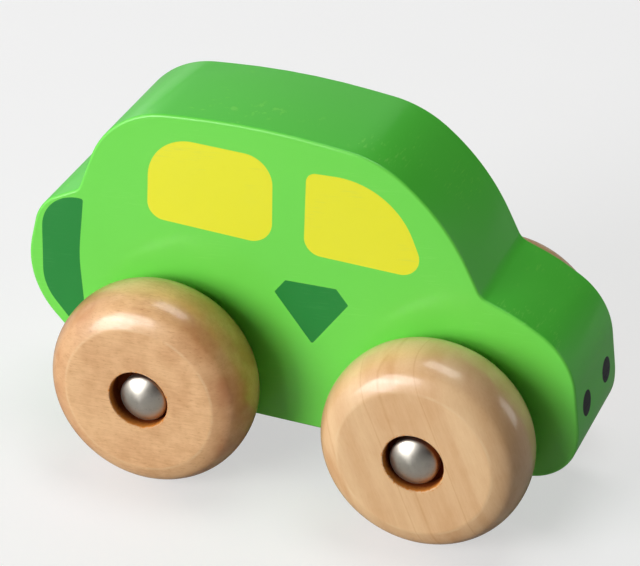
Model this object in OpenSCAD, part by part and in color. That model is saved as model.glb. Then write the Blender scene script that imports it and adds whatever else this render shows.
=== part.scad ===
// Wooden pull-back car: a painted block on four turned wheels, with a spring motor on its rear axle.
// The car faces +X and stands on z = 0, with the middle of its length at x = 0.
// Side outlines are drawn in the X-Z plane, measured from the point on the ground between the axles.

/* [Body] */
// Thickness of the wooden body
body_w = 22; // [21:0.5:24]
// Height of the body's underside above the ground
underside_z = 10.1; // [9.8:0.1:10.4]

/* [Wheels] */
// Radius of all four wheels, which is also the height of both axles
wheel_r = 18; // [17:0.5:19]
// Thickness of a wheel
wheel_t = 14.2; // [12:0.2:16]
// Distance between the front and the rear axle
wheelbase = 48.6; // [48:0.2:52]
// Gap between the body and a wheel
wheel_gap = 1; // [0.6:0.1:2]
// Radius of the flat ring on a wheel's outer face
wheel_flat_r = 13.2; // [12:0.2:14]
// Radius of a wheel's inner face
wheel_inner_r = 14.6; // [13:0.2:16]
// Distance from a wheel's outer face to its widest ring
wheel_crown_depth = 7.2; // [6:0.2:8]
// Radius of the recess round the cap
recess_r = 5.2; // [5:0.1:6]
// Depth of the recess round the cap
recess_depth = 3.4; // [3.2:0.1:4]

/* [Axles and caps] */
// Radius of both steel axles
axle_r = 1.5; // [1.4:0.05:1.6]
// Radius of a domed cap
cap_r = 4.2; // [4:0.1:4.6]
// Height of a cap's dome above its straight skirt
cap_dome_h = 1.4; // [1.2:0.1:1.5]
// Height of a cap's straight skirt
cap_skirt_h = 1.7; // [1.4:0.1:1.7]
// Distance from a wheel's outer face down to the top of the dome
cap_sink = 0.1; // [0:0.05:0.1]

/* [Motor] */
// Outside width of the motor housing
motor_w = 15; // [14.8:0.1:15.4]
// Thickness of the housing's side walls
motor_wall = 1.2; // [1:0.1:1.4]
// Gear module: pitch diameter divided by the number of teeth
gear_module = 0.5; // [0.5:0.5:0.5]
// Height of the mainspring's strip
spring_strip_w = 4.4; // [3.6:0.2:4.4]
// Number of turns in the mainspring
spring_turns = 7; // [5:1:8]

/* [Hidden] */

round_fn = 96;
small_fn = 48;
cut = 0.1;              // how far a cutting shape runs past the face that it cuts
running_fit = 0.06;     // radial clearance of a shaft that turns in a bearing
wheel_fit = 0.08;       // radial clearance of a front wheel on its axle

// ---- Outlines ----

function unit(v) = v / norm(v);
function direction(a) = [cos(a), sin(a)];

// Arc that rounds the corner at b, between its neighbours a and c, with radius r.
function round_corner(a, b, c, r) =
    let (
        to_a = unit(a - b),
        to_c = unit(c - b),
        half = acos(to_a * to_c) / 2,
        centre = b + unit(to_a + to_c) * r / sin(half),
        start = b + to_a * r / tan(half) - centre,
        end = b + to_c * r / tan(half) - centre,
        a0 = atan2(start.y, start.x),
        turn = (atan2(end.y, end.x) - a0 + 540) % 360 - 180,
        steps = max(2, ceil(abs(turn) / 4))
    )
    [for (i = [0 : steps]) centre + r * direction(a0 + turn * i / steps)];

// Closed outline from corners given as [x, z, corner radius].
function rounded_outline(corners) = [
    for (i = [0 : len(corners) - 1])
        let (n = len(corners), a = corners[(i + n - 1) % n], b = corners[i], c = corners[(i + 1) % n])
        each round_corner([a.x, a.y], [b.x, b.y], [c.x, c.y], b.z)
];

// Side view of the car body, from the lower front corner, up the nose and back over the roof.
body_corners = [
    [47.4, underside_z, 9],      // lower front
    [47.5, 20.5, 18],            // nose
    [45.6, 34.4, 13],            // front edge of the bonnet
    [35.8, 39.9, 30],            // middle of the bonnet
    [29.6, 42.1, 3],             // foot of the windscreen
    [23.1, 54.6, 38],            // middle of the windscreen
    [11.4, 63.3, 20],            // top of the windscreen
    [-10.5, 65.4, 130],          // roof
    [-36.1, 62.9, 16],           // rear edge of the roof
    [-41.9, 46.6, 2],            // foot of the rear window
    [-49.3, 42.7, 8],            // rear edge of the boot
    [-52.6, 27.2, 15.5],         // tail
    [-35.9, underside_z, 3]      // lower rear
];
body_outline = rounded_outline(body_corners);
outline_x = [for (p = body_outline) p.x];
middle_x = (min(outline_x) + max(outline_x)) / 2;

rear_axle_x = -wheelbase / 2;
front_axle_x = wheelbase / 2;
axle_z = wheel_r;

// Puts a car-frame shape in place, with the middle of the car's length at x = 0.
module in_car() {
    translate([-middle_x, 0, 0])
        children();
}

// Extrudes an X-Z outline across the car, from y0 to y1.
module across(y0, y1) {
    translate([0, y1, 0])
        rotate([90, 0, 0])
            linear_extrude(y1 - y0)
                children();
}

// Round bar across the car, centred on [x, z], from y0 to y1.
module bar(at, r, y0, y1, fn = small_fn) {
    translate([at.x, y1, at.y])
        rotate([90, 0, 0])
            cylinder(r = r, h = y1 - y0, $fn = fn);
}

// ---- Motor layout, measured from the rear axle ----

axle_teeth = 12;
drive_wheel_teeth = 24;
drive_pinion_teeth = 10;
spring_teeth = 30;
winding_teeth = 20;
clutch_teeth = 18;

pressure_angle = 25;
addendum = 0.8 * gear_module;
dedendum = 1.0 * gear_module;
backlash = 0.10;        // clearance between the teeth of a meshed pair, on the pitch circle
flank_steps = 4;
tip_gap = 0.25;         // clearance between the tips of the axle gear and the clutch gear at rest

function pitch_r(teeth) = gear_module * teeth / 2;
function tip_r(teeth) = pitch_r(teeth) + addendum;
function centres(teeth_a, teeth_b) = pitch_r(teeth_a) + pitch_r(teeth_b);
// Angle opposite side c in a triangle with sides a, b and c.
function corner_angle(a, b, c) = acos((a * a + b * b - c * c) / (2 * a * b));

arbor_distance = 16;
arbor_direction = 30;
axle_at = [0, 0];
arbor_at = arbor_distance * direction(arbor_direction);
axle_to_drive = centres(axle_teeth, drive_wheel_teeth);
drive_to_arbor = centres(drive_pinion_teeth, spring_teeth);
drive_direction = arbor_direction + corner_angle(axle_to_drive, arbor_distance, drive_to_arbor);
drive_at = axle_to_drive * direction(drive_direction);

// The clutch gear stays in mesh with the winding gear, and its pin can swing about the arbor.
clutch_swing_r = centres(winding_teeth, clutch_teeth);
clutch_in_mesh = corner_angle(arbor_distance, clutch_swing_r, centres(axle_teeth, clutch_teeth));
clutch_out_of_mesh =
    corner_angle(arbor_distance, clutch_swing_r, tip_r(axle_teeth) + tip_r(clutch_teeth) + tip_gap);
clutch_direction = arbor_direction + 180 + clutch_out_of_mesh;
clutch_at = arbor_at + clutch_swing_r * direction(clutch_direction);

// Angle of a tooth on a gear that meshes with a gear whose tooth is at tooth_angle.
// line is the direction from the first gear to the second.
function meshed_angle(line, teeth, tooth_angle, own_teeth) =
    line + 180 - 180 / own_teeth + (line - tooth_angle) * teeth / own_teeth;

axle_tooth_angle = 0;
drive_wheel_angle = meshed_angle(drive_direction, axle_teeth, axle_tooth_angle, drive_wheel_teeth);
drive_line = arbor_at - drive_at;
spring_gear_angle =
    meshed_angle(atan2(drive_line.y, drive_line.x), drive_pinion_teeth, drive_wheel_angle, spring_teeth);
clutch_angle = meshed_angle(clutch_direction, winding_teeth, spring_gear_angle, clutch_teeth);

// Places across the motor, from its right wall (-y) to its left wall (+y).
half_w = motor_w / 2;
end_wall = 1.3;
inner_y = half_w - end_wall;
spring_y0 = -inner_y + 0.3;
spring_gear_y0 = spring_y0 + spring_strip_w + 0.4;
spring_gear_y1 = spring_gear_y0 + 1.6;
drive_wheel_y0 = spring_gear_y1 + 0.4;
drive_wheel_y1 = drive_wheel_y0 + 1.6;
clutch_y0 = drive_wheel_y1 + 0.5;
clutch_y1 = inner_y - 1.2;

axle_hole_r = axle_r + running_fit;
arbor_r = 2;
arbor_journal_r = 1.2;
drive_pin_r = 0.8;
clutch_pin_r = 0.75;
stud_r = 1.6;           // bosses that keep the drive gear in its place
spring_inner_r = 2.5;
spring_outer_r = 7.4;
spring_strip_t = 0.25;
spring_post_r = 0.7;
spring_end_angle = -30;
spring_post_at =
    arbor_at + (spring_outer_r + spring_strip_t / 2 + spring_post_r) * direction(spring_end_angle);

// Housing outline
housing_x0 = -5.4;
housing_x1 = 23.6;
housing_z0 = -7.2;
housing_z1 = 17.4;
housing_corner_r = 2.6;
ear_l = 4;
ear_t = 1.8;
ear_w = 7;
ear_z = -5.9;
ear_hole_r = 1.25;
ear_screw_x = [housing_x0 - ear_l / 2, housing_x1 + ear_l / 2];

boss_r = 2.2;
boss_at = [
    [housing_x0 + motor_wall + 1.4, housing_z1 - motor_wall - 1.4],
    [housing_x1 - motor_wall - 1.0, housing_z1 - motor_wall - 1.0],
    [housing_x1 - motor_wall - 1.4, housing_z0 + motor_wall + 1.4]
];
case_screw_r = 0.8;
case_screw_head_r = 1.5;
case_screw_head_h = 1;
case_screw_l = 11;
motor_screw_r = 1.1;
motor_screw_head_r = 1.9;
motor_screw_head_h = 1.3;
motor_screw_l = 9;

module in_motor() {
    in_car()
        translate([rear_axle_x, 0, axle_z])
            children();
}

// ---- Gears ----

function involute_angle(a) = tan(a) * 180 / PI - a;

// Right-hand flank of a tooth centred on angle 0, from its root to its tip.
function tooth_flank(teeth) =
    let (
        rp = pitch_r(teeth),
        base_r = rp * cos(pressure_angle),
        root_r = rp - dedendum,
        half_tooth = 90 / teeth - (backlash / 4) / rp * 180 / PI,
        start_r = max(base_r, root_r),
        half_at_base = half_tooth + involute_angle(pressure_angle)
    )
    [
        root_r * direction(-half_at_base - (base_r > root_r ? 0 : 0.5)),
        for (i = [0 : flank_steps])
            let (
                r = start_r + (tip_r(teeth) - start_r) * i / flank_steps,
                a = acos(min(1, base_r / r))
            )
            r * direction(-half_at_base + involute_angle(a))
    ];

function turned(p, a) = [p.x * cos(a) - p.y * sin(a), p.x * sin(a) + p.y * cos(a)];

module gear_outline(teeth, tooth_angle) {
    flank = tooth_flank(teeth);
    last = len(flank) - 1;
    tooth = [
        each flank,
        for (i = [last : -1 : 0]) [flank[i].x, -flank[i].y]
    ];
    polygon([
        for (k = [0 : teeth - 1])
            each [for (p = tooth) turned(p, tooth_angle + 360 * k / teeth)]
    ]);
}

module gear(at, teeth, tooth_angle, y0, y1) {
    translate([at.x, 0, at.y])
        across(y0, y1)
            gear_outline(teeth, tooth_angle);
}

// ---- Body ----

module motor_pocket() {
    slack = 0.25;
    depth = underside_z - axle_z - cut;
    translate([housing_x0 - slack, -half_w - slack, depth])
        cube([housing_x1 - housing_x0 + 2 * slack, motor_w + 2 * slack, housing_z1 + slack - depth]);
    translate([housing_x0 - ear_l - slack, -ear_w / 2 - slack, depth])
        cube([housing_x1 - housing_x0 + 2 * (ear_l + slack), ear_w + 2 * slack, ear_z + ear_t - depth]);
    for (x = ear_screw_x)
        translate([x, 0, ear_z])
            cylinder(r = motor_screw_r, h = motor_screw_l, $fn = small_fn);
}

// Slot that lets the rear axle into the body from below.
module axle_slot() {
    slot_r = axle_r + 0.7;
    depth = axle_z - underside_z + cut;
    across(-body_w / 2 - cut, body_w / 2 + cut)
        union() {
            circle(r = slot_r, $fn = small_fn);
            translate([-slot_r, -depth])
                square([2 * slot_r, depth]);
        }
}

module body() {
    color("limegreen")
        difference() {
            in_car()
                across(-body_w / 2, body_w / 2)
                    polygon(body_outline);
            in_motor() {
                motor_pocket();
                axle_slot();
            }
            in_car()
                bar([front_axle_x, axle_z], axle_r, -body_w / 2 - cut, body_w / 2 + cut);
        }
}

// ---- Motor housing ----

housing_corners = [
    [housing_x1, housing_z0, housing_corner_r],
    [housing_x1, housing_z1, housing_corner_r],
    [housing_x0, housing_z1, housing_corner_r],
    [housing_x0, housing_z0, housing_corner_r]
];

// The corners of a box outline, moved inwards by the thickness of a wall.
function inset_box(corners, wall) =
    let (middle_x = (corners[0].x + corners[2].x) / 2, middle_z = (corners[0].y + corners[2].y) / 2)
    [
        for (c = corners)
            [c.x - wall * sign(c.x - middle_x), c.y - wall * sign(c.y - middle_z), c.z - wall]
    ];

// Slot that the clutch pin can swing in, from out of mesh to in mesh with the axle gear.
module clutch_slot_outline() {
    slot_r = clutch_pin_r + running_fit;
    swing = clutch_out_of_mesh - clutch_in_mesh;
    swing_l = 2 * clutch_swing_r * sin(swing / 2);
    translate(clutch_at)
        rotate(clutch_direction - swing / 2 - 90) {
            circle(r = slot_r, $fn = small_fn);
            translate([swing_l, 0])
                circle(r = slot_r, $fn = small_fn);
            translate([0, -slot_r])
                square([swing_l, 2 * slot_r]);
        }
}

// Half of the housing on one side: side is 1 for left (+y) and -1 for right (-y).
module housing_half(side, stud_y) {
    outer = side > 0 ? [0, half_w] : [-half_w, 0];
    hollow = side > 0 ? [-cut, inner_y] : [-inner_y, cut];
    stud = side > 0 ? [stud_y, inner_y] : [-inner_y, stud_y];
    difference() {
        union() {
            difference() {
                across(outer[0], outer[1])
                    polygon(rounded_outline(housing_corners));
                across(hollow[0], hollow[1])
                    difference() {
                        polygon(rounded_outline(inset_box(housing_corners, motor_wall)));
                        for (at = boss_at)
                            translate(at)
                                circle(r = boss_r, $fn = small_fn);
                    }
            }
            bar(drive_at, stud_r, stud[0], stud[1]);
        }
        bar(axle_at, axle_hole_r, outer[0] - cut, outer[1] + cut);
        bar(arbor_at, arbor_journal_r + running_fit, outer[0] - cut, outer[1] + cut);
        bar(drive_at, drive_pin_r, outer[0] - cut, outer[1] + cut);
        across(outer[0] - cut, outer[1] + cut)
            clutch_slot_outline();
    }
}

module motor_housing_left() {
    color("dimgray")
        in_motor() {
            difference() {
                housing_half(1, drive_wheel_y1 + 0.15);
                for (at = boss_at)
                    bar(at, case_screw_r, -cut, half_w + cut);
            }
            for (x = [housing_x0 - ear_l, housing_x1])
                difference() {
                    translate([x, -ear_w / 2, ear_z])
                        cube([ear_l, ear_w, ear_t]);
                    translate([x + ear_l / 2, 0, ear_z - cut])
                        cylinder(r = ear_hole_r, h = ear_t + 2 * cut, $fn = small_fn);
                }
        }
}

module motor_housing_right() {
    color("dimgray")
        in_motor() {
            difference() {
                housing_half(-1, spring_gear_y0 - 0.25);
                for (at = boss_at) {
                    bar(at, case_screw_r + 0.1, -half_w - cut, cut);
                    bar(at, case_screw_head_r + 0.1, -half_w - cut, -half_w + case_screw_head_h);
                }
            }
            bar(spring_post_at, spring_post_r, -inner_y, spring_y0 + spring_strip_w);
        }
}

// Screw along +Z, with the top of its head at z = 0 and a cross cut into it.
module cross_screw(shank_r, head_r, head_h, shank_l) {
    slot_w = head_r * 0.3;
    slot_l = head_r * 1.3;
    difference() {
        union() {
            cylinder(r = head_r, h = head_h, $fn = small_fn);
            cylinder(r = shank_r, h = head_h + shank_l, $fn = small_fn);
        }
        for (a = [0, 90])
            rotate([0, 0, a])
                translate([-slot_l / 2, -slot_w / 2, -cut])
                    cube([slot_l, slot_w, head_h * 0.5 + cut]);
    }
}

module housing_screws() {
    color("silver")
        in_motor()
            for (at = boss_at)
                translate([at.x, -half_w, at.y])
                    rotate([-90, 0, 0])
                        cross_screw(case_screw_r, case_screw_head_r, case_screw_head_h, case_screw_l);
}

module motor_screws() {
    color("silver")
        in_motor()
            for (x = ear_screw_x)
                translate([x, 0, ear_z - motor_screw_head_h])
                    cross_screw(motor_screw_r, motor_screw_head_r, motor_screw_head_h, motor_screw_l - 0.2);
}

// ---- Spring and gear train ----

// Point on the spring's spiral at a given number of turns from its inner end.
function spiral_point(turns, offset) =
    arbor_at
    + (spring_inner_r + (spring_outer_r - spring_inner_r) * turns / spring_turns + offset)
    * direction(spring_end_angle + 360 * (turns - spring_turns));

module mainspring() {
    steps_per_turn = 24;
    steps = spring_turns * steps_per_turn;
    color("slategray")
        in_motor()
            across(spring_y0, spring_y0 + spring_strip_w)
                polygon([
                    for (i = [0 : steps]) spiral_point(i / steps_per_turn, spring_strip_t / 2),
                    for (i = [steps : -1 : 0]) spiral_point(i / steps_per_turn, -spring_strip_t / 2)
                ]);
}

module spring_arbor() {
    slot_w = 0.5;
    color("silver")
        in_motor()
            difference() {
                union() {
                    bar(arbor_at, arbor_journal_r, -half_w + 0.2, half_w - 0.2);
                    bar(arbor_at, arbor_r, -inner_y + 0.1, inner_y - 0.1);
                }
                translate([arbor_at.x, spring_y0, arbor_at.y - slot_w / 2])
                    cube([arbor_r + cut, spring_strip_w, slot_w]);
            }
}

module spring_gear() {
    color("ivory")
        in_motor()
            difference() {
                gear(arbor_at, spring_teeth, spring_gear_angle, spring_gear_y0, spring_gear_y1);
                bar(arbor_at, arbor_r, spring_gear_y0 - cut, spring_gear_y1 + cut);
            }
}

module winding_gear() {
    color("ivory")
        in_motor()
            difference() {
                gear(arbor_at, winding_teeth, spring_gear_angle, clutch_y0, clutch_y1);
                bar(arbor_at, arbor_r, clutch_y0 - cut, clutch_y1 + cut);
            }
}

// Large gear and pinion in one piece: it drives the axle from the spring gear.
module drive_gear() {
    color("gold")
        in_motor()
            difference() {
                union() {
                    gear(drive_at, drive_wheel_teeth, drive_wheel_angle, drive_wheel_y0, drive_wheel_y1);
                    gear(drive_at, drive_pinion_teeth, drive_wheel_angle, spring_gear_y0 - 0.1, drive_wheel_y0);
                }
                bar(drive_at, drive_pin_r + running_fit, spring_gear_y0 - 1, drive_wheel_y1 + 1);
            }
}

module drive_gear_pin() {
    color("silver")
        in_motor()
            bar(drive_at, drive_pin_r, -half_w + 0.1, half_w - 0.1);
}

module clutch_gear() {
    color("gold")
        in_motor()
            difference() {
                gear(clutch_at, clutch_teeth, clutch_angle, clutch_y0, clutch_y1);
                bar(clutch_at, clutch_pin_r, clutch_y0 - cut, clutch_y1 + cut);
            }
}

module clutch_pin() {
    color("silver")
        in_motor()
            bar(clutch_at, clutch_pin_r, -half_w + 0.2, half_w - 0.2);
}

// Pinion with a long hub on both sides, which keeps the axle in the middle of the motor.
module axle_gear() {
    hub_r = 2.3;
    gear_y0 = drive_wheel_y0 - 0.2;
    gear_y1 = clutch_y1 + 0.2;
    color("ivory")
        in_motor()
            difference() {
                union() {
                    gear(axle_at, axle_teeth, axle_tooth_angle, gear_y0, gear_y1);
                    bar(axle_at, hub_r, -inner_y + 0.2, inner_y - 0.2);
                }
                bar(axle_at, axle_r, -inner_y, inner_y);
            }
}

// ---- Wheels, axles and caps, each made on the +Y side of the car ----

wheel_inner_y = body_w / 2 + wheel_gap;
wheel_outer_y = wheel_inner_y + wheel_t;
cap_base_y = wheel_outer_y - cap_sink - cap_dome_h - cap_skirt_h;
axle_end_y = cap_base_y + 2;

// Quarter of an ellipse from [r0, y0] to [r1, y1], which starts along the radius when along_r is true.
function quarter(r0, y0, r1, y1, along_r, steps) = [
    for (i = [0 : steps])
        let (a = 90 * i / steps)
        along_r
            ? [r0 + (r1 - r0) * sin(a), y0 + (y1 - y0) * (1 - cos(a))]
            : [r0 + (r1 - r0) * (1 - cos(a)), y0 + (y1 - y0) * sin(a)]
];

module wheel(bore_r) {
    crown_y = wheel_outer_y - wheel_crown_depth;
    chamfer = 0.3;
    steps = 12;
    rotate([-90, 0, 0])
        difference() {
            rotate_extrude($fn = round_fn)
                polygon([
                    [0, wheel_inner_y],
                    each quarter(wheel_inner_r, wheel_inner_y, wheel_r, crown_y, true, steps),
                    for (i = [1 : steps])
                        quarter(wheel_r, crown_y, wheel_flat_r, wheel_outer_y, false, steps)[i],
                    [recess_r + chamfer, wheel_outer_y],
                    [recess_r, wheel_outer_y - chamfer],
                    [recess_r, wheel_outer_y - recess_depth],
                    [0, wheel_outer_y - recess_depth]
                ]);
            translate([0, 0, wheel_inner_y - cut])
                cylinder(r = bore_r, h = wheel_t, $fn = small_fn);
        }
}

// Domed cap, pushed on the end of an axle.
module cap() {
    dome_r = (cap_r * cap_r + cap_dome_h * cap_dome_h) / (2 * cap_dome_h);
    rim_y = cap_base_y + cap_skirt_h;
    rotate([-90, 0, 0])
        difference() {
            union() {
                translate([0, 0, cap_base_y])
                    cylinder(r = cap_r, h = cap_skirt_h, $fn = round_fn);
                intersection() {
                    translate([0, 0, rim_y + cap_dome_h - dome_r])
                        sphere(r = dome_r, $fn = round_fn);
                    translate([0, 0, rim_y])
                        cylinder(r = cap_r, h = cap_dome_h + 1, $fn = round_fn);
                }
            }
            translate([0, 0, cap_base_y - cut])
                cylinder(r = axle_r, h = axle_end_y - cap_base_y + cut, $fn = small_fn);
        }
}

module on_axle(x, side) {
    in_car()
        translate([x, 0, axle_z])
            mirror([0, side < 0 ? 1 : 0, 0])
                children();
}

module rear_axle() {
    color("silver")
        in_car()
            bar([rear_axle_x, axle_z], axle_r, -axle_end_y, axle_end_y);
}

module front_axle() {
    color("silver")
        in_car()
            bar([front_axle_x, axle_z], axle_r, -axle_end_y, axle_end_y);
}

module rear_wheel(side) {
    color("burlywood")
        on_axle(rear_axle_x, side)
            wheel(axle_r);
}

module front_wheel(side) {
    color("burlywood")
        on_axle(front_axle_x, side)
            wheel(axle_r + wheel_fit);
}

module axle_cap(x, side) {
    color("gainsboro")
        on_axle(x, side)
            cap();
}

module rear_wheel_left() rear_wheel(1);
module rear_wheel_right() rear_wheel(-1);
module rear_cap_left() axle_cap(rear_axle_x, 1);
module rear_cap_right() axle_cap(rear_axle_x, -1);
module front_wheel_left() front_wheel(1);
module front_wheel_right() front_wheel(-1);
module front_cap_left() axle_cap(front_axle_x, 1);
module front_cap_right() axle_cap(front_axle_x, -1);

body();
motor_housing_left();
motor_housing_right();
housing_screws();
motor_screws();
mainspring();
spring_arbor();
spring_gear();
winding_gear();
drive_gear();
drive_gear_pin();
clutch_gear();
clutch_pin();
axle_gear();
rear_axle();
rear_wheel_left();
rear_wheel_right();
rear_cap_left();
rear_cap_right();
front_axle();
front_wheel_left();
front_wheel_right();
front_cap_left();
front_cap_right();
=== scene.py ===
"""Looks of the wooden pull-back car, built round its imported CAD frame.

The car faces +X and stands on z = 0. Sizes are in metres, and sizes in millimetres are times MM.
Side outlines are drawn in the X-Z plane, measured from the point on the ground between the axles.
"""

import math

import bmesh
import bpy
from mathutils import Matrix, Vector
from mathutils.geometry import delaunay_2d_cdt


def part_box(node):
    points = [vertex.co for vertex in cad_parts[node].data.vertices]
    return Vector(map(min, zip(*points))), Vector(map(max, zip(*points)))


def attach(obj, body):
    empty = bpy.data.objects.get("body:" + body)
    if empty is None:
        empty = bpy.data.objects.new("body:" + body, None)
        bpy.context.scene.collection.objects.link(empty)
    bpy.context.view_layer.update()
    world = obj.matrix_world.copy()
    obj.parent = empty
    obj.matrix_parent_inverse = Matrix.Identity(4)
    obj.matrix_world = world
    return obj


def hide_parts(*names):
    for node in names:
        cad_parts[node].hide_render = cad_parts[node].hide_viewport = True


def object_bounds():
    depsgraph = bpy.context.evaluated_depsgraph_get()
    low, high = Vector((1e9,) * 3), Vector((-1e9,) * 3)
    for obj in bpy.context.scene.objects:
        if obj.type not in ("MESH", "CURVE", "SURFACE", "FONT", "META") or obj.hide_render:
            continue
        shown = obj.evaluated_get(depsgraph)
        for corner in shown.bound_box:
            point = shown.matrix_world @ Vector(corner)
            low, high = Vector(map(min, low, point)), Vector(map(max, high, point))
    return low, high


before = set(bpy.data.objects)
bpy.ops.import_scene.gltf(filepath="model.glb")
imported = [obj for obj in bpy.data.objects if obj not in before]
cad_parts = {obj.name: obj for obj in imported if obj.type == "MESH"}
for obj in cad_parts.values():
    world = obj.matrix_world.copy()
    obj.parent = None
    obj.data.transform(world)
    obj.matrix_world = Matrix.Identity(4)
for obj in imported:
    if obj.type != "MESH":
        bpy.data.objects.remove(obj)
cad_low, cad_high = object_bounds()

MM = 0.001
SIDES = {"left": 1, "right": -1}


# ---- Sizes ----

# Corners of the body's side outline: x, z and corner radius, in millimetres.
BODY_CORNERS = [
    (47.4, 10.1, 9),      # lower front
    (47.5, 20.5, 18),     # nose
    (45.6, 34.4, 13),     # front edge of the bonnet
    (35.8, 39.9, 30),     # middle of the bonnet
    (29.6, 42.1, 3),      # foot of the windscreen
    (23.1, 54.6, 38),     # middle of the windscreen
    (11.4, 63.3, 20),     # top of the windscreen
    (-10.5, 65.4, 130),   # roof
    (-36.1, 62.9, 16),    # rear edge of the roof
    (-41.9, 46.6, 2),     # foot of the rear window
    (-49.3, 42.7, 8),     # rear edge of the boot
    (-52.6, 27.2, 15.5),  # tail
    (-35.9, 10.1, 3),     # lower rear
]
# Rounding of the body's long edges
BODY_EDGE_R = 0.5 * MM

# Corners of the printed shapes, given in the same way
REAR_WINDOW = [(-29.2, 44.3, 3), (-6.8, 43.7, 4), (-6.9, 59.75, 5.1), (-28.9, 60.0, 8)]
FRONT_WINDOW = [(-1.2, 43.6, 3.0), (20.5, 43.3, 3.3), (13.75, 59.45, 14), (-1.05, 58.6, 1.8)]
DOOR_SHAPE = [(0.7, 26.6, 0.3), (6.9, 35.4, 0.3), (4.7, 38.05, 0.3), (-4.3, 37.7, 0.3), (-6.2, 35.1, 0.3)]
TAIL_BAND = [
    (-40.4, 17.0, 0.3),
    (-41.9, 34.0, 30),
    (-40.95, 44.95, 0.4),
    (-48.7, 44.9, 6.9),
    (-48.75, 26.6, 9),
]

# The two headlights, printed on the nose in front of NOSE_X
LAMP_R = 2.2 * MM
LAMP_Y = 5.6 * MM
LAMP_Z = 23.4 * MM
LAMP_BLUR = 0.04 * MM
NOSE_X = 40 * MM

# Section of a wheel, with its depths measured from the outer face
WHEEL_FLAT_R = 13.2 * MM
WHEEL_INNER_R = 14.6 * MM
WHEEL_CROWN_DEPTH = 7.2 * MM
SHOULDER_R = 16.44 * MM
SHOULDER_DEPTH = 1.87 * MM
RECESS_R = 5.2 * MM
RECESS_DEPTH = 3.4 * MM

# Axles and caps
AXLE_R = 1.5 * MM
RUNNING_FIT = 0.08 * MM
PRESS_FIT = 0.01 * MM
CAP_SKIRT_H = 1.7 * MM
CAP_HOLLOW_R = 2.3 * MM

# Pocket for the motor, with a recess at each end for a screwed ear, and the slot of the rear axle
POCKET_SLACK = 0.25 * MM
POCKET_CORNER_R = 0.2 * MM
POCKET_CHAMFER = 0.3 * MM
EAR_WIDTH = 7 * MM
EAR_TOP_Z = 13.9 * MM
EAR_LENGTH = 4 * MM
EAR_CORNER_R = 1.2 * MM
SCREW_HOLE_R = 1.1 * MM
SCREW_HOLE_TOP_Z = 21.1 * MM
AXLE_SLOT_R = 2.2 * MM


# ---- Outlines ----

def direction(angle):
    return Vector((math.cos(angle), math.sin(angle)))


def round_corner(a, b, c, radius, turn_step):
    """Arc that rounds the corner at b, between its neighbours a and c."""
    to_a = (a - b).normalized()
    to_c = (c - b).normalized()
    half = to_a.angle(to_c) / 2
    centre = b + (to_a + to_c).normalized() * radius / math.sin(half)
    start = b + to_a * radius / math.tan(half) - centre
    end = b + to_c * radius / math.tan(half) - centre
    first = math.atan2(start.y, start.x)
    turn = math.remainder(math.atan2(end.y, end.x) - first, math.tau)
    steps = max(2, math.ceil(abs(turn) / turn_step))
    return [centre + radius * direction(first + turn * i / steps) for i in range(steps + 1)]


def rounded_outline(corners, turn_step=math.radians(2.5)):
    """Closed outline in metres, from corners given as (x, z, radius) in millimetres."""
    places = [Vector((x, z)) * MM for x, z, _ in corners]
    count = len(corners)
    outline = []
    for i, (_, _, radius) in enumerate(corners):
        outline += round_corner(places[i - 1], places[i], places[(i + 1) % count], radius * MM, turn_step)
    return outline


def moved(outline, shift_x):
    return [p + Vector((shift_x, 0)) for p in outline]


def outward(outline):
    """Outward direction at each point of a closed, counter-clockwise outline."""
    normals = []
    for i, p in enumerate(outline):
        along = (outline[(i + 1) % len(outline)] - outline[i - 1]).normalized()
        normals.append(Vector((along.y, -along.x)))
    return normals


def inset(outline, distance):
    return [p - n * distance for p, n in zip(outline, outward(outline))]


def bezier(start, control, end, steps):
    """Points of a quadratic curve, without its first point."""
    start, control, end = Vector(start), Vector(control), Vector(end)
    points = []
    for i in range(1, steps + 1):
        t = i / steps
        points.append(start * (1 - t) ** 2 + control * 2 * t * (1 - t) + end * t ** 2)
    return points


# ---- Meshes ----

def mesh_object(name, bm, materials):
    """Object made from a bmesh, with its materials in order."""
    mesh = bpy.data.meshes.new(name)
    bm.to_mesh(mesh)
    bm.free()
    for material in materials:
        mesh.materials.append(material)
    made = bpy.data.objects.new(name, mesh)
    bpy.context.scene.collection.objects.link(made)
    return made


def shade(mesh, sharp_angle=math.radians(35)):
    """Smooth shading, broken at edges that are sharper than the angle."""
    bm = bmesh.new()
    bm.from_mesh(mesh)
    for face in bm.faces:
        face.smooth = True
    for edge in bm.edges:
        edge.smooth = len(edge.link_faces) == 2 and edge.calc_face_angle() < sharp_angle
    bm.to_mesh(mesh)
    bm.free()


def join_rings(bm, rings):
    """Joins neighbouring rings, which have equally many vertices, with bands of faces."""
    for first, second in zip(rings, rings[1:]):
        for i in range(len(first)):
            j = (i + 1) % len(first)
            bm.faces.new((first[i], first[j], second[j], second[i]))


def turned(name, profile, centre, side, material, segments=144):
    """Shape turned on an axle. The profile's points are (radius, distance from the car's middle).

    A point on the axis makes a ring of one vertex, and its band is made of triangles.
    """
    on_axis = 1e-9
    bm = bmesh.new()
    rings = []
    for radius, out in profile:
        if radius < on_axis:
            rings.append([bm.verts.new((centre.x, side * out, centre.z))])
            continue
        ring = []
        for i in range(segments):
            around = radius * direction(math.tau * i / segments)
            ring.append(bm.verts.new((centre.x + around.x, side * out, centre.z + around.y)))
        rings.append(ring)
    for first, second in zip(rings, rings[1:]):
        for i in range(segments):
            places = ((first, i), (first, i + 1), (second, i + 1), (second, i))
            corners = [band_edge[step % len(band_edge)] for band_edge, step in places]
            bm.faces.new(dict.fromkeys(corners))
    bmesh.ops.recalc_face_normals(bm, faces=bm.faces)
    made = mesh_object(name, bm, [material])
    shade(made.data)
    return made


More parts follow.
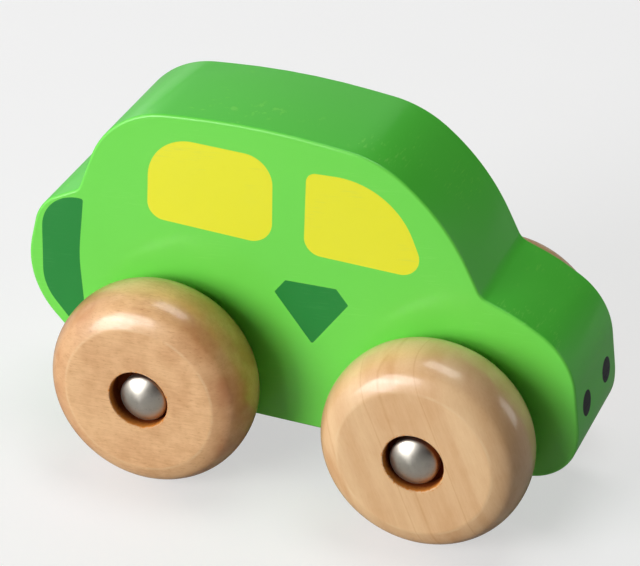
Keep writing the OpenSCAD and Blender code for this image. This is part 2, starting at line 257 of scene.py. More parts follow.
def prism(name, outline, low, high, axis, flare=0.0):
    """Cutter: an outline drawn across axis ("y" or "z") and extruded from low to high.

    With a flare, it starts a little before low and narrows at 45 degrees until it is the flare's depth
    past low, which leaves a chamfer of that size on a face at low.
    """
    overrun = 0.5 * MM
    levels = [(low, 0.0), (high, 0.0)]
    if flare:
        levels = [(low - overrun, flare + overrun), (low + flare, 0.0), (high, 0.0)]
    bm = bmesh.new()
    rings = []
    for level, spread in levels:
        ring = []
        for p in inset(outline, -spread):
            ring.append(bm.verts.new((p.x, level, p.y) if axis == "y" else (p.x, p.y, level)))
        rings.append(ring)
    join_rings(bm, rings)
    bm.faces.new(rings[0])
    bm.faces.new(rings[-1])
    bmesh.ops.recalc_face_normals(bm, faces=bm.faces)
    return mesh_object(name, bm, [])


def plan_rectangle(low_x, high_x, half_y, radius):
    """Outline in the X-Y plane, in metres, of a box with round corners across the middle of the car."""
    corners = [(high_x, -half_y), (high_x, half_y), (low_x, half_y), (low_x, -half_y)]
    return rounded_outline([(x / MM, y / MM, radius / MM) for x, y in corners], math.radians(15))


def circle(x, across, radius, count=48):
    """Outline of a circle in the X-Z or the X-Y plane."""
    return [Vector((x, across)) + radius * direction(math.tau * i / count) for i in range(count)]


def cut_away(target, cutters, material_index):
    """Cuts the cutters out of the target. The faces that they leave get the target's material_index."""
    for cutter in cutters:
        # The cutter needs the same material slots as the target, for its index to mean the same.
        for material in target.data.materials:
            cutter.data.materials.append(material)
        for face in cutter.data.polygons:
            face.material_index = material_index
        cut = target.modifiers.new("cut", "BOOLEAN")
        cut.operation = "DIFFERENCE"
        cut.solver = "EXACT"
        cut.object = cutter
    bpy.context.view_layer.update()
    cut_mesh = bpy.data.meshes.new_from_object(target.evaluated_get(bpy.context.evaluated_depsgraph_get()))
    target.modifiers.clear()
    old = target.data
    target.data = cut_mesh
    bpy.data.meshes.remove(old)
    for cutter in cutters:
        bpy.data.objects.remove(cutter)


# ---- Materials ----

class Look:
    """One material's nodes, added and joined in short calls."""

    def __init__(self, name):
        self.material = bpy.data.materials.new(name)
        self.material.use_nodes = True
        self.tree = self.material.node_tree
        self.shader = self.tree.nodes["Principled BSDF"]
        coordinates = self.tree.nodes.new("ShaderNodeTexCoord")
        self.place = coordinates.outputs["Object"]
        self.normal = coordinates.outputs["Normal"]

    def put(self, socket, value):
        """Links a socket to another one, or sets it to a plain value."""
        if isinstance(value, bpy.types.NodeSocket):
            self.tree.links.new(value, socket)
        else:
            socket.default_value = value

    def node(self, kind, inputs, **settings):
        """Adds a node. inputs says what goes into its sockets, and settings sets its own options."""
        made = self.tree.nodes.new(kind)
        for key, value in settings.items():
            setattr(made, key, value)
        for key, value in inputs.items():
            self.put(made.inputs[key], value)
        return made

    def set(self, **inputs):
        """Sets the shader's sockets: base_color=..., coat_weight=... and so on."""
        for key, value in inputs.items():
            name = " ".join(word.capitalize() for word in key.split("_")).replace("Ior", "IOR")
            self.put(self.shader.inputs[name], value)

    def stretched(self, scale, turn=(0, 0, 0)):
        """The place, turned about its axes and then scaled, so a texture stretches where scale is small."""
        turned_place = self.node("ShaderNodeMapping", {"Vector": self.place, "Rotation": turn})
        return self.node("ShaderNodeMapping", {"Vector": turned_place.outputs[0], "Scale": scale}).outputs[0]

    def noise(self, scale, detail=2.0, roughness=0.5, place=None):
        """Noise from 0 to 1, mostly close to 0.5."""
        return self.node("ShaderNodeTexNoise", {
            "Vector": place or self.place,
            "Scale": scale,
            "Detail": detail,
            "Roughness": roughness,
        }).outputs[0]

    def maths(self, operation, first, second=0.0):
        return self.node("ShaderNodeMath", {0: first, 1: second}, operation=operation).outputs[0]

    def times(self, first, second):
        return self.maths("MULTIPLY", first, second)

    def length(self, first, second):
        """Length of the hypotenuse over two distances."""
        squares = [self.maths("POWER", side, 2.0) for side in (first, second)]
        return self.maths("SQRT", self.maths("ADD", *squares))

    def add(self, first, *others):
        total = first
        for other in others:
            total = self.maths("ADD", total, other)
        return total

    def remap(self, value, low, high, to_low=0.0, to_high=1.0, smooth=False):
        """Goes from to_low to to_high as the value goes from low to high, and stays there past them."""
        return self.node("ShaderNodeMapRange", {
            "Value": value,
            "From Min": low,
            "From Max": high,
            "To Min": to_low,
            "To Max": to_high,
        }, interpolation_type="SMOOTHSTEP" if smooth else "LINEAR").outputs[0]

    def mix(self, share, first, second):
        """Colour that goes from first to second as share goes from 0 to 1."""
        factor, colour_a, colour_b, colour_out = 0, 6, 7, 2
        inputs = {factor: share, colour_a: first, colour_b: second}
        return self.node("ShaderNodeMix", inputs, data_type="RGBA").outputs[colour_out]

    def split(self, vector):
        """The three parts of a vector, as sockets."""
        return self.node("ShaderNodeSeparateXYZ", {0: vector}).outputs

    def bump(self, height, depth, strength=1.0, normal=None):
        """Bump whose height of 0 to 1 stands for a depth in metres."""
        inputs = {"Height": height, "Distance": depth, "Strength": strength}
        if normal:
            inputs["Normal"] = normal
        return self.node("ShaderNodeBump", inputs).outputs[0]


def colour(red, green, blue):
    return (red, green, blue, 1.0)


# Paints. Each thin colour is the same paint where it is worn. The edge green on the sawn surface is painted
# shade: darker and cooler than the sides, for the cooler light there.
GREEN = colour(0.186, 0.83, 0.086)
GREEN_PAINTED_SHADE = colour(0.104, 0.77, 0.060)
GREEN_THIN = colour(0.22, 0.86, 0.11)
YELLOW = colour(0.95, 0.93, 0.022)
YELLOW_THIN = colour(0.86, 0.89, 0.06)
DARK_GREEN = colour(0.009, 0.272, 0.035)
DARK_GREEN_THIN = colour(0.022, 0.31, 0.05)
LAMP_GREY = colour(0.030, 0.033, 0.040)

# Wood: bare in the pocket, burnt or torn in a wheel's recess, and soaked with lacquer on its end grain. The
# torn rim's pale colour also paints a highlight along each wheel's face edge.
BARE_WOOD = colour(0.62, 0.42, 0.23)
BARE_WOOD_DARK = colour(0.46, 0.28, 0.14)
BURNT_RIM = colour(0.74, 0.27, 0.05)
# The deep burnt colour is partly painted shade: a wheel's recess goes nearly black towards its floor.
BURNT_AND_SHADED_DEEP = colour(0.20, 0.042, 0.008)
TORN_RIM_AND_EDGE_HIGHLIGHT = colour(1.0, 0.76, 0.44)
END_GRAIN = colour(0.60, 0.24, 0.085)


def lamp_spots(look):
    """Share of 1 inside the two headlights printed on the nose."""
    x, y, z = look.split(look.place)
    beside = look.maths("SUBTRACT", look.maths("ABSOLUTE", y), LAMP_Y)
    above = look.maths("SUBTRACT", z, LAMP_Z)
    away = look.length(beside, above)
    spot = look.remap(away, LAMP_R - LAMP_BLUR, LAMP_R + LAMP_BLUR, 1.0, 0.0)
    return look.times(spot, look.maths("GREATER_THAN", x, NOSE_X))


def paint(name, base, thin, painted_shade_tint=None, lamps=False):
    """Satin paint over sanded wood: faint grain under it, thin on the edges, with a few scuffs.

    The sawn surface between the two sides can have its own darker, cooler tint: painted shade for the cooler
    light that falls on it.
    """
    look = Look(name)
    grain = look.noise(1.0, 3, 0.6, look.stretched((90, 900, 900)))
    cloud = look.noise(70, 3)
    peel = look.noise(900, 2)
    # Scuffs are short scratches along the car, in some places only.
    scratch = look.noise(1.0, 3, 0.6, look.stretched((260, 500, 5200), (0, 0.12, 0)))
    scratched = look.remap(look.noise(95, 1), 0.50, 0.62)
    scuff = look.times(look.remap(scratch, 0.58, 0.66), scratched)
    # How far a face looks sideways: 0 on the sawn surface, 1 on the sides, and between them on the edges.
    sideways = look.maths("ABSOLUTE", look.split(look.normal)[1])
    edge = look.maths("PINGPONG", sideways, 0.5)
    worn_places = look.remap(look.noise(260, 4, 0.6), 0.45, 0.65)
    worn = look.times(look.remap(edge, 0.15, 0.45), worn_places)
    share = look.maths("MAXIMUM", look.times(cloud, 0.16), look.times(worn, 0.25))
    share = look.maths("MAXIMUM", share, look.times(scuff, 0.8))
    # Painted shade: faces away from the sides take a darker, cooler green.
    if painted_shade_tint:
        base = look.mix(look.remap(sideways, 0.3, 0.7), painted_shade_tint, base)
    tint = look.mix(share, base, thin)
    coat = 0.3
    shine = 0.5
    if lamps:
        # The headlights are printed in a matt ink.
        spots = lamp_spots(look)
        tint = look.mix(spots, tint, LAMP_GREY)
        coat = look.remap(spots, 0.0, 1.0, coat, 0.0)
        shine = look.remap(spots, 0.0, 1.0, shine, 0.12)
    relief = look.bump(grain, 0.02 * MM, 0.5)
    relief = look.bump(peel, 0.004 * MM, 0.5, relief)
    look.set(
        base_color=tint,
        roughness=look.add(look.remap(cloud, 0.3, 0.7, 0.34, 0.44), look.times(scuff, 0.2)),
        normal=relief,
        specular_ior_level=shine,
        coat_weight=coat,
        coat_roughness=0.12,
        coat_normal=relief,
    )
    return look.material


def raw_wood(name):
    """Unpainted wood in the sawn pocket."""
    look = Look(name)
    fibre = look.noise(1.0, 4, 0.65, look.stretched((160, 2400, 2400)))
    band = look.noise(1.0, 2, 0.5, look.stretched((25, 260, 260)))
    share = look.times(look.add(fibre, band), 0.5)
    look.set(
        base_color=look.mix(look.remap(share, 0.35, 0.65), BARE_WOOD, BARE_WOOD_DARK),
        roughness=look.remap(fibre, 0.3, 0.7, 0.65, 0.85),
        normal=look.bump(fibre, 0.06 * MM),
    )
    return look.material


def growth_pattern(look, style, fibre, mottle):
    """Share of the dark colour in a wheel's wood."""
    along = (0, style["grain_turn"], 0)
    # Broad bands of slow and fast growth, and thin lines that follow them.
    band = look.noise(1.0, 2, 0.5, look.stretched((7, 60, 200), along))
    line_noise = look.noise(1.0, 1, 0.5, look.stretched((4, 25, 120), along))
    off_line = look.maths("ABSOLUTE", look.maths("SUBTRACT", line_noise, 0.5))
    line = look.remap(off_line, 0.0, 0.012, 1.0, 0.0)
    fleck = look.remap(look.noise(1.0, 2, 0.5, look.stretched((900, 4200, 4200), along)), 0.58, 0.70)
    share = look.add(
        look.remap(band, 0.38, 0.62, 0.0, style["bands"], smooth=True),
        look.times(line, style["lines"]),
        look.remap(fibre, 0.3, 0.7, -0.5 * style["fibre"], 0.5 * style["fibre"]),
        look.remap(mottle, 0.35, 0.65, -0.5 * style["mottle"], 0.5 * style["mottle"]),
        look.remap(look.noise(70, 2), 0.35, 0.65, 0.0, style["patches"]),
        look.times(fleck, style["flecks"]),
    )
    return look.remap(share, 0.0, 1.0)


def end_grain(look, style):
    """Share of end grain, which shows where the shoulder faces along the fibres."""
    across_x, _, across_z = look.split(look.normal)
    facing = look.maths("ABSOLUTE", look.add(
        look.times(across_x, math.cos(style["grain_turn"])),
        look.times(across_z, math.sin(style["grain_turn"])),
    ))
    soaked = look.remap(facing, 0.12, 0.60, 0.0, style["end_grain"], smooth=True)
    uneven = look.remap(look.noise(150, 3, 0.6), 0.35, 0.6, 0.35, 1.0)
    return look.times(soaked, uneven)


def painted_edge_highlight(look, around, sunk, mottle):
    """Share of a thin pale line between the outer face and the shoulder: a painted highlight along that edge,
    where the lacquer is also thin.
    """
    line_r = WHEEL_FLAT_R + 0.15 * MM
    face_depth = 1 * MM
    off_line = look.maths("ABSOLUTE", look.maths("SUBTRACT", around, line_r))
    line = look.remap(off_line, 0.08 * MM, 0.35 * MM, 0.28, 0.0, smooth=True)
    broken_highlight = look.times(line, look.remap(mottle, 0.42, 0.58))
    return look.times(broken_highlight, look.maths("LESS_THAN", sunk, face_depth))


def burn_recess(look, wood, around, sunk):
    """Burns the recess below a pale torn rim, going darker with depth: burn, and painted shade deep in the
    recess. Gives the wood's new colour and the burnt share.
    """
    burn_reach_r = RECESS_R + 0.4 * MM
    torn = look.noise(1900, 3, 0.6)
    rim_r = look.add(look.remap(torn, 0.45, 0.65, 0.0, 0.45 * MM), RECESS_R)
    rim = look.maths("LESS_THAN", around, rim_r)
    wood = look.mix(look.times(rim, 0.75), wood, TORN_RIM_AND_EDGE_HIGHLIGHT)
    ragged = look.add(sunk, look.remap(torn, 0.3, 0.7, -0.2 * MM, 0.2 * MM))
    inside = look.maths("LESS_THAN", around, burn_reach_r)
    burnt = look.times(look.remap(ragged, 0.02 * MM, 0.20 * MM), inside)
    # Painted shade: the burnt wall darkens towards the recess floor.
    char_and_shade = look.mix(look.remap(ragged, 0.3 * MM, 1.7 * MM), BURNT_RIM, BURNT_AND_SHADED_DEEP)
    return look.mix(burnt, wood, char_and_shade), burnt


def wheel_wood(name, centre, outer_y, style):
    """Lacquered wood of a turned wheel, with its grain across the axle and a burnt recess."""
    look = Look(name)
    fibre = look.noise(1.0, 4, 0.6, look.stretched((300, 2600, 2600), (0, style["grain_turn"], 0)))
    mottle = look.noise(230, 4, 0.6)
    # Distance from the axle, and depth below the outer face
    x, y, z = look.split(look.place)
    around = look.length(look.maths("SUBTRACT", x, centre.x), look.maths("SUBTRACT", z, centre.z))
    sunk = look.maths("SUBTRACT", outer_y, look.maths("ABSOLUTE", y))
    wood = look.mix(growth_pattern(look, style, fibre, mottle), style["pale"], style["dark"])
    wood = look.mix(end_grain(look, style), wood, END_GRAIN)
    # Painted highlight: a pale line along the edge of the outer face.
    wood = look.mix(painted_edge_highlight(look, around, sunk, mottle), wood, TORN_RIM_AND_EDGE_HIGHLIGHT)
    wood, burnt = burn_recess(look, wood, around, sunk)
    look.set(
        base_color=wood,
        roughness=look.add(look.remap(mottle, 0.3, 0.7, 0.38, 0.50), look.times(burnt, 0.35)),
        specular_ior_level=look.remap(burnt, 0.0, 1.0, 0.5, 0.05),
        normal=look.bump(fibre, 0.02 * MM, 0.5),
        coat_weight=look.remap(burnt, 0.0, 1.0, 0.8, 0.0),
        coat_roughness=0.17,
        coat_normal=look.bump(look.noise(380, 2), 0.02 * MM, 0.5, look.bump(fibre, 0.008 * MM, 0.6)),
    )
    return look.material


def metal(name, tint, roughness, streak=(1500, 1500, 1500)):
    """Plain metal, with fine streaks and a few dull spots."""
    look = Look(name)
    swing = 0.06
    fine = look.noise(1.0, 4, 0.6, look.stretched(streak))
    dull = look.noise(500, 4, 0.65)
    darker = colour(*[part * 0.72 for part in tint[:3]])
    spots = look.remap(dull, 0.55, 0.75)
    look.set(
        base_color=look.mix(look.times(spots, 0.6), tint, darker),
        metallic=1.0,
        roughness=look.add(
            look.remap(fine, 0.3, 0.7, roughness - swing, roughness + swing),
            look.times(spots, 0.1),
        ),
        normal=look.bump(fine, 0.003 * MM, 0.5),
    )
    return look.material


def spun_metal(name, tint, roughness):
    """Plated cap, polished while it turned, so that its highlights fan out from its middle."""
    look = Look(name)
    cloud = look.noise(700, 4, 0.65)
    pits = look.remap(look.noise(2600, 2, 0.5), 0.68, 0.76)
    darker = colour(*[part * 0.55 for part in tint[:3]])
    spots = look.times(look.remap(cloud, 0.5, 0.75), 0.4)
    look.set(
        base_color=look.mix(look.maths("MAXIMUM", spots, look.times(pits, 0.5)), tint, darker),
        metallic=1.0,
        roughness=look.remap(cloud, 0.3, 0.7, roughness - 0.03, roughness + 0.06),
        anisotropic=0.3,
        anisotropic_rotation=0.25,
        tangent=look.node("ShaderNodeTangent", {}, direction_type="RADIAL", axis="Y").outputs[0],
        normal=look.bump(cloud, 0.004 * MM, 0.5),
    )
    return look.material


def plastic(name, tint, shadow_tint, roughness, grain_depth, subsurface=0.0):
    """Moulded plastic with a fine grain and slight cloudiness."""
    look = Look(name)
    grain = look.noise(2600, 2, 0.5)
    cloud = look.noise(220, 3)
    look.set(
        base_color=look.mix(look.remap(cloud, 0.3, 0.7), tint, shadow_tint),
        roughness=look.remap(cloud, 0.3, 0.7, roughness - 0.05, roughness + 0.07),
        normal=look.bump(grain, grain_depth, 0.6),
        subsurface_weight=subsurface,
        subsurface_radius=(1 * MM, 1 * MM, 0.8 * MM),
    )
    return look.material


# ---- Body ----

# Places of the body's materials in its list
GREEN_SLOT, YELLOW_SLOT, DARK_GREEN_SLOT, BARE_SLOT = range(4)

body_low, body_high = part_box("body")
body_half = body_high.y

# The frame's x = 0 is at the middle of the car's length, and the outlines' is between the axles.
drawn_outline = rounded_outline(BODY_CORNERS)
middle_x = (min(p.x for p in drawn_outline) + max(p.x for p in drawn_outline)) / 2
body_outline = moved(drawn_outline, -middle_x)


def printed_shapes():
    """Outline and material slot of each printed shape."""
    prints = {YELLOW_SLOT: (REAR_WINDOW, FRONT_WINDOW), DARK_GREEN_SLOT: (DOOR_SHAPE, TAIL_BAND)}
    shapes = []
    for slot, group in prints.items():
        for corners in group:
            shapes.append((moved(rounded_outline(corners, math.radians(4)), -middle_x), slot))
    return shapes


def fill_side(bm, ring, y, grid=3.0 * MM):
    """Closes a flat side inside a ring of vertices, with small faces that follow the printed shapes."""
    row_step = 0.87 * grid
    only_inside = 1
    merge_distance = 1e-7
    places = [Vector((v.co.x, v.co.z)) for v in ring]
    loops = [list(range(len(ring)))]
    region_slots = [GREEN_SLOT]
    for shape, slot in printed_shapes():
        loops.append(list(range(len(places), len(places) + len(shape))))
        places += shape
        region_slots.append(slot)
    low_x = min(p.x for p in places)
    low_z = min(p.y for p in places)
    for column in range(int((body_high.x - body_low.x) / grid) + 1):
        for row in range(int((body_high.z - body_low.z) / grid) + 1):
            places.append(Vector((low_x + (column + 0.5 * (row % 2)) * grid, low_z + row * row_step)))
    made = delaunay_2d_cdt(places, [], loops, only_inside, merge_distance, True)
    points, _, faces, origins, _, face_regions = made
    # The rim of the side is made of the ring's own vertices.
    verts = {}
    for face, regions in zip(faces, face_regions):
        if not regions:
            continue
        corners = []
        for i in face:
            if i not in verts:
                rim = [o for o in origins[i] if o < len(ring)]
                verts[i] = ring[rim[0]] if rim else bm.verts.new((points[i].x, y, points[i].y))
            corners.append(verts[i])
        made_face = bm.faces.new(corners)
        made_face.material_index = max(region_slots[r] for r in regions)


def body_shell(materials):
    """The painted block, with rounded edges and its printed shapes."""
    bm = bmesh.new()
    round_steps = 6
    flat_margin = 0.05 * MM
    # Each level is a distance inwards from the outline, and a place across the car.
    levels = [(BODY_EDGE_R + flat_margin, body_half)]
    for i in range(round_steps + 1):
        angle = math.pi / 2 * (1 - i / round_steps)
        levels.append((BODY_EDGE_R * (1 - math.cos(angle)), body_half - BODY_EDGE_R * (1 - math.sin(angle))))
    levels = [(step_in, -y) for step_in, y in levels] + [(step_in, y) for step_in, y in reversed(levels)]
    rings = []
    for step_in, y in levels:
        rings.append([bm.verts.new((p.x, y, p.y)) for p in inset(body_outline, step_in)])
    join_rings(bm, rings)
    fill_side(bm, rings[0], -body_half)
    fill_side(bm, rings[-1], body_half)
    bmesh.ops.recalc_face_normals(bm, faces=bm.faces)
    return mesh_object("car_body", bm, materials)


def axle_centre(end):
    low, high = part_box(end + "_axle")
    return (low + high) / 2


def slot_outline(centre):
    """Side outline of the rear axle's slot, open downwards, with a round top about the axle."""
    arc_steps = 24
    slot = [Vector((centre.x + AXLE_SLOT_R, 0)), Vector((centre.x + AXLE_SLOT_R, centre.z))]
    for i in range(1, arc_steps):
        slot.append(Vector((centre.x, centre.z)) + AXLE_SLOT_R * direction(math.pi * i / arc_steps))
    slot += [Vector((centre.x - AXLE_SLOT_R, centre.z)), Vector((centre.x - AXLE_SLOT_R, 0))]
    return slot


def body_cutters():
    """Motor pocket, its two ear recesses and screw holes, the slot of the rear axle and the front bore."""
    case_low, case_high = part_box("motor_housing_right")
    ears_low, ears_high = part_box("motor_housing_left")
    front = axle_centre("front")
    under = body_low.z
    case_half = -case_low.y + POCKET_SLACK
    ear_half = EAR_WIDTH / 2 + POCKET_SLACK
    pocket = plan_rectangle(case_low.x - POCKET_SLACK, case_high.x + POCKET_SLACK, case_half, POCKET_CORNER_R)
    ears = plan_rectangle(ears_low.x - POCKET_SLACK, ears_high.x + POCKET_SLACK, ear_half, EAR_CORNER_R)
    front_bore = circle(front.x, front.z, AXLE_R + PRESS_FIT)
    reach = body_half + 1 * MM
    cutters = [
        prism("cut_pocket", pocket, under, case_high.z + POCKET_SLACK, "z", POCKET_CHAMFER),
        prism("cut_ears", ears, under, EAR_TOP_Z, "z", POCKET_CHAMFER),
        prism("cut_slot", slot_outline(axle_centre("rear")), -reach, reach, "y"),
        prism("cut_bore", front_bore, -reach, reach, "y"),
    ]
    for x in (ears_low.x + EAR_LENGTH / 2, ears_high.x - EAR_LENGTH / 2):
        cutters.append(prism("cut_screw", circle(x, 0, SCREW_HOLE_R, 24), under, SCREW_HOLE_TOP_Z, "z"))
    return cutters


def make_body():
    materials = [
        paint("green_paint", GREEN, GREEN_THIN, GREEN_PAINTED_SHADE, lamps=True),
        paint("yellow_print", YELLOW, YELLOW_THIN),
        paint("dark_green_print", DARK_GREEN, DARK_GREEN_THIN),
        raw_wood("bare_wood"),
    ]
    made = body_shell(materials)
    cut_away(made, body_cutters(), BARE_SLOT)
    shade(made.data)
    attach(made, "chassis")
    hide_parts("body")


# ---- Wheels and caps ----

def wheel_profile(inner_y, outer_y, wheel_r, bore_r):
    """Points of a wheel's section, from its bore on the inner face round to the floor of its recess."""
    chamfer = 0.25 * MM
    edge_round = 0.4 * MM
    rim_round = 0.35 * MM
    rim_depth = 0.45 * MM
    floor_round = 0.3 * MM
    # Where the long curves bend, as (radius, distance from the car's middle)
    inner_bend = (wheel_r, inner_y + 2.2 * MM)
    crown_bend = (wheel_r, outer_y - 4.02 * MM)
    shoulder_bend = (15.757 * MM, outer_y - 0.93 * MM)

    points = [Vector((bore_r, inner_y + chamfer)), Vector((bore_r + chamfer, inner_y))]
    points += [Vector((r * MM, inner_y)) for r in (5, 10)]
    # Tight curve off the inner face, then a long one out to the crown
    inner_edge = Vector((WHEEL_INNER_R, inner_y))
    start, bend, end = [inner_edge + Vector(step) * MM for step in ((-0.8, 0), (0.1, 0), (0.7, 0.35))]
    points += bezier(start, bend, end, 5)
    crown = (wheel_r, outer_y - WHEEL_CROWN_DEPTH)
    points += bezier(points[-1], inner_bend, crown, 14)
    # Outer shoulder in two curves, up to the softened edge of the flat ring
    shoulder = (SHOULDER_R, outer_y - SHOULDER_DEPTH)
    points += bezier(points[-1], crown_bend, shoulder, 10)
    edge = Vector((WHEEL_FLAT_R, outer_y))
    before_edge = edge + Vector((0.376, -0.137)) * MM
    points += bezier(points[-1], shoulder_bend, before_edge, 10)
    points += bezier(before_edge, edge, edge - Vector((edge_round, 0)), 4)
    points += [Vector((r * MM, outer_y)) for r in (10, 7.5)]
    # Recess with a rounded rim and a rounded floor
    rim = Vector((RECESS_R, outer_y))
    points += bezier(rim + Vector((rim_round, 0)), rim, rim - Vector((0, rim_depth)), 4)
    points += [rim - Vector((0, RECESS_DEPTH * i / 4)) for i in (1, 2, 3)]
    floor = rim - Vector((0, RECESS_DEPTH))
    points += bezier(floor + Vector((0, floor_round)), floor, floor - Vector((floor_round, 0)), 3)
    points += [Vector((bore_r, floor.y)), Vector((bore_r, inner_y + chamfer))]
    return points


def cap_profile(base_y, apex_y, radius, axle_end_y):
    """Points of a domed cap's section, from its hollow out over its skirt to the top of the dome."""
    foot_round = 0.2 * MM
    rim_round = 0.25 * MM
    rim_y = base_y + CAP_SKIRT_H
    dome_h = apex_y - rim_y
    ball_r = (radius ** 2 + dome_h ** 2) / (2 * dome_h)
    spread = math.asin(radius / ball_r)
    dome_steps = 20
    # The first steps of the dome are taken up by its rounded rim.
    rim_steps = 2

    def dome_point(i):
        angle = spread * (1 - i / dome_steps)
        return Vector((ball_r * math.sin(angle), apex_y - ball_r * (1 - math.cos(angle))))

    points = [
        Vector((0, axle_end_y)),
        Vector((CAP_HOLLOW_R, axle_end_y)),
        Vector((CAP_HOLLOW_R, base_y)),
        Vector((radius - foot_round, base_y)),
    ]
    points += bezier(points[-1], (radius, base_y), (radius, base_y + foot_round), 3)
    points += [Vector((radius, rim_y - rim_round))]
    points += bezier(points[-1], (radius, rim_y), dome_point(rim_steps), 6)
    points += [dome_point(i) for i in range(rim_steps + 1, dome_steps + 1)]
    return points


# How each wheel's wood looks: direction of its grain in radians, two colours, the share of the dark one
# in its growth bands, thin lines, fibres, fine mottling, larger patches and short flecks, and how much of
# the end grain's colour it takes.
WHEEL_STYLES = {
    "rear_right": {
        "grain_turn": 0.05, "pale": colour(0.91, 0.55, 0.27), "dark": colour(0.60, 0.27, 0.10),
        "bands": 0.10, "lines": 0.0, "fibre": 0.36, "mottle": 0.50, "patches": 0.25, "flecks": 0.36,
        "end_grain": 0.85,
    },
    "front_right": {
        "grain_turn": -1.17, "pale": colour(0.97, 0.655, 0.355), "dark": colour(0.74, 0.39, 0.165),
        "bands": 0.45, "lines": 0.32, "fibre": 0.18, "mottle": 0.15, "patches": 0.28, "flecks": 0.10,
        "end_grain": 0.12,
    },
    "rear_left": {
        "grain_turn": 0.9, "pale": colour(0.82, 0.49, 0.24), "dark": colour(0.60, 0.30, 0.125),
        "bands": 0.30, "lines": 0.25, "fibre": 0.22, "mottle": 0.30, "patches": 0.30, "flecks": 0.20,
        "end_grain": 0.6,
    },
    "front_left": {
        "grain_turn": -0.5, "pale": colour(0.83, 0.51, 0.25), "dark": colour(0.62, 0.31, 0.135),
        "bands": 0.30, "lines": 0.30, "fibre": 0.20, "mottle": 0.20, "patches": 0.25, "flecks": 0.20,
        "end_grain": 0.6,
    },
}

# How far each cap sits off the middle of its axle, along X and Z, in millimetres
CAP_OFFSETS = {
    "rear_right": (0.30, -0.50),
    "front_right": (-0.40, -0.60),
    "rear_left": (-0.25, 0.30),
    "front_left": (0.30, 0.20),
}


def reach_across(low, high):
    """Nearest and farthest distance of a box from the middle of the car."""
    return sorted((abs(low.y), abs(high.y)))


def make_wheel(end, side):
    name = f"{end}_wheel_{side}"
    low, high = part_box(name)
    inner_y, outer_y = reach_across(low, high)
    centre = axle_centre(end)
    wood = wheel_wood(f"{name}_wood", centre, outer_y, WHEEL_STYLES[f"{end}_{side}"])
    # The front wheels turn on their axle, and the rear ones are pressed on theirs.
    bore_r = AXLE_R + (RUNNING_FIT if end == "front" else 0.0)
    profile = wheel_profile(inner_y, outer_y, (high.z - low.z) / 2, bore_r)
    made = turned(f"{name}_turned", profile, centre, SIDES[side], wood)
    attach(made, "rear_axle_set" if end == "rear" else name)
    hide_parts(name)


def make_cap(end, side, material):
    name = f"{end}_cap_{side}"
    low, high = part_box(name)
    base_y, apex_y = reach_across(low, high)
    axle_end_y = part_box(f"{end}_axle")[1].y
    profile = cap_profile(base_y, apex_y, (high.z - low.z) / 2, axle_end_y)
    offset_x, offset_z = CAP_OFFSETS[f"{end}_{side}"]
    centre = axle_centre(end) + Vector((offset_x, 0, offset_z)) * MM
    made = turned(f"{name}_domed", profile, centre, SIDES[side], material)
    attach(made, "rear_axle_set" if end == "rear" else "chassis")
    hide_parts(name)


# ---- CAD nodes that are shown as they are ----

def dress(node, material, edge=0.0):
    """Gives a CAD node its material, and bevels its sharp edges where edge gives a width."""
    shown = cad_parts[node]
    shown.data.materials.clear()
    shown.data.materials.append(material)
    for face in shown.data.polygons:
        face.material_index = 0
    if edge:
        weld = shown.modifiers.new("weld", "WELD")
        weld.merge_threshold = 0.001 * MM
        bevel = shown.modifiers.new("edges", "BEVEL")
        bevel.width = edge
        bevel.segments = 2
        bevel.limit_method = "ANGLE"
        bevel.angle_limit = math.radians(38)
        bevel.harden_normals = True


def dress_cad_nodes():
    """Steel, plastic and spring parts, which keep their CAD shapes."""
    black = colour(0.035, 0.036, 0.038)
    deep_black = colour(0.028, 0.029, 0.031)
    steel = metal("axle_steel", colour(0.60, 0.60, 0.62), 0.28, streak=(1400, 120, 1400))
    screw_steel = metal("screw_steel", colour(0.55, 0.54, 0.52), 0.36)
    spring_steel = metal("spring_steel", colour(0.25, 0.28, 0.34), 0.30, streak=(200, 2500, 200))
    housing = plastic("motor_plastic", black, deep_black, 0.42, 0.02 * MM)
    ivory = plastic("gear_ivory", colour(0.78, 0.74, 0.62), colour(0.72, 0.67, 0.54), 0.34, 0.004 * MM, 0.15)
    amber = plastic("gear_yellow", colour(0.80, 0.58, 0.16), colour(0.72, 0.50, 0.12), 0.34, 0.004 * MM, 0.15)
    for node in ("motor_housing_left", "motor_housing_right"):
        dress(node, housing, 0.2 * MM)
    for node in ("rear_axle", "front_axle", "spring_arbor", "drive_gear_pin", "clutch_pin"):
        dress(node, steel, 0.12 * MM)
    for node in ("housing_screws", "motor_screws"):
        dress(node, screw_steel, 0.08 * MM)
    dress("mainspring", spring_steel)
    for node in ("spring_gear", "winding_gear", "axle_gear"):
        dress(node, ivory)
    for node in ("drive_gear", "clutch_gear"):
        dress(node, amber)


# ---- Camera, lights and floor ----

# Brightness of the background, and of the floor before any light falls on it
BACKGROUND_GLOW = 0.55
# Half the width of the floor, and how far the lights are from the car, in metres
FLOOR_HALF = 3.0
LIGHT_DISTANCE = 0.9


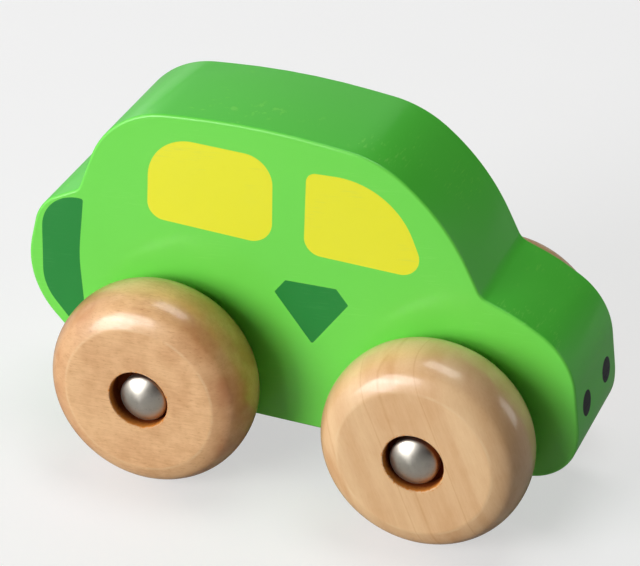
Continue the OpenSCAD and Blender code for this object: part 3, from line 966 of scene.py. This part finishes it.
def add_camera():
    """Long lens from the front right, above the roof. Its angles are in radians."""
    azimuth = 0.354
    elevation = 0.531
    roll = 0.027
    distance = 0.5204
    aim = Vector((-0.0055, 0.0139, 0.0230))
    back = Vector((
        math.sin(azimuth) * math.cos(elevation),
        -math.cos(azimuth) * math.cos(elevation),
        math.sin(elevation),
    ))
    level = Vector((math.cos(azimuth), math.sin(azimuth), 0))
    upright = back.cross(level)
    right = math.cos(roll) * level + math.sin(roll) * upright
    up = math.cos(roll) * upright - math.sin(roll) * level
    data = bpy.data.cameras.new("camera")
    data.sensor_width = 36
    data.lens = 167.3
    data.clip_start = 0.01
    data.clip_end = 20
    camera = bpy.data.objects.new("camera", data)
    place = Matrix((right, up, back)).transposed().to_4x4()
    place.translation = aim + back * distance
    camera.matrix_world = place
    bpy.context.scene.collection.objects.link(camera)
    bpy.context.scene.camera = camera


def add_softbox(name, toward, width, height, power):
    """Soft rectangular light that shines at the middle of the car from a direction."""
    data = bpy.data.lights.new(name, "AREA")
    data.shape = "RECTANGLE"
    data.size = width
    data.size_y = height
    data.energy = power
    light = bpy.data.objects.new(name, data)
    target = Vector((0, 0, (cad_low.z + cad_high.z) / 2))
    toward = Vector(toward).normalized()
    light.location = target + toward * LIGHT_DISTANCE
    light.rotation_mode = "QUATERNION"
    light.rotation_quaternion = toward.to_track_quat("Z", "Y")
    bpy.context.scene.collection.objects.link(light)
    return light


def add_world():
    """Pale background, which gives no light: that all comes from the softboxes and the floor."""
    world = bpy.data.worlds.new("studio")
    world.use_nodes = True
    background = world.node_tree.nodes["Background"]
    background.inputs["Color"].default_value = colour(1, 1, 1)
    background.inputs["Strength"].default_value = BACKGROUND_GLOW
    world.cycles_visibility.diffuse = False
    world.cycles_visibility.glossy = False
    bpy.context.scene.world = world


def floor_plane(name, level, look):
    bm = bmesh.new()
    corners = []
    for x, y in ((-1, -1), (1, -1), (1, 1), (-1, 1)):
        corners.append(bm.verts.new((x * FLOOR_HALF, y * FLOOR_HALF, level)))
    bm.faces.new(corners)
    made = mesh_object(name, bm, [look.material])
    return made


def add_floor():
    """Pale floor for the camera, over a greyer one that reflects light onto the car."""
    drop = 0.1 * MM
    pale = Look("pale_floor")
    pale.set(
        base_color=pale.mix(pale.noise(30, 3), colour(0.44, 0.44, 0.44), colour(0.46, 0.46, 0.46)),
        roughness=0.8,
        emission_color=colour(1, 1, 1),
        emission_strength=BACKGROUND_GLOW,
    )
    shown = floor_plane("floor", 0.0, pale)
    shown.visible_diffuse = False
    shown.visible_glossy = False
    shown.visible_shadow = False
    grey = Look("grey_floor")
    grey.set(
        base_color=grey.mix(grey.noise(30, 3), colour(0.42, 0.42, 0.42), colour(0.45, 0.45, 0.45)),
        roughness=0.8,
    )
    lighting = floor_plane("lighting_floor", -drop, grey)
    lighting.visible_camera = False


def add_lights():
    """Softboxes all round the car. The strongest ones are on its near side, towards the rear."""
    softboxes = {
        # direction from the car, width, height, power
        "key_light": ((-0.46, -0.79, 0.40), 0.50, 0.34, 3.4),
        "low_key_light": ((-0.60, -0.78, 0.15), 0.40, 0.30, 3.4),
        "top_light": ((0.04, 0.15, 0.98), 0.50, 0.30, 2.4),
        "upper_left_light": ((-0.60, 0.00, 0.80), 0.60, 0.60, 0.3),
        "left_light": ((-0.95, -0.25, 0.30), 0.70, 0.60, 1.2),
        "left_rear_light": ((-0.80, 0.50, 0.40), 0.60, 0.60, 0.8),
        "rear_light": ((-0.35, 0.80, 0.48), 0.60, 0.40, 0.3),
        "low_rear_light": ((-0.56, 0.81, 0.10), 0.44, 0.20, 0.18),
        "right_rear_light": ((0.82, 0.50, 0.24), 0.24, 0.36, 0.7),
    }
    for name, (toward, width, height, power) in softboxes.items():
        add_softbox(name, toward, width, height, power)
    # This one fills in the far side without a reflection on the roof.
    fill = add_softbox("far_side_light", (-0.10, 0.98, 0.15), 0.60, 0.25, 1.8)
    fill.visible_glossy = False


make_body()
cap_material = spun_metal("cap_nickel", colour(0.65, 0.61, 0.54), 0.37)
for axle in ("rear", "front"):
    for side_name in SIDES:
        make_wheel(axle, side_name)
        make_cap(axle, side_name, cap_material)
dress_cad_nodes()
bpy.context.scene.view_settings.view_transform = "Standard"
add_world()
add_floor()
add_lights()
add_camera()
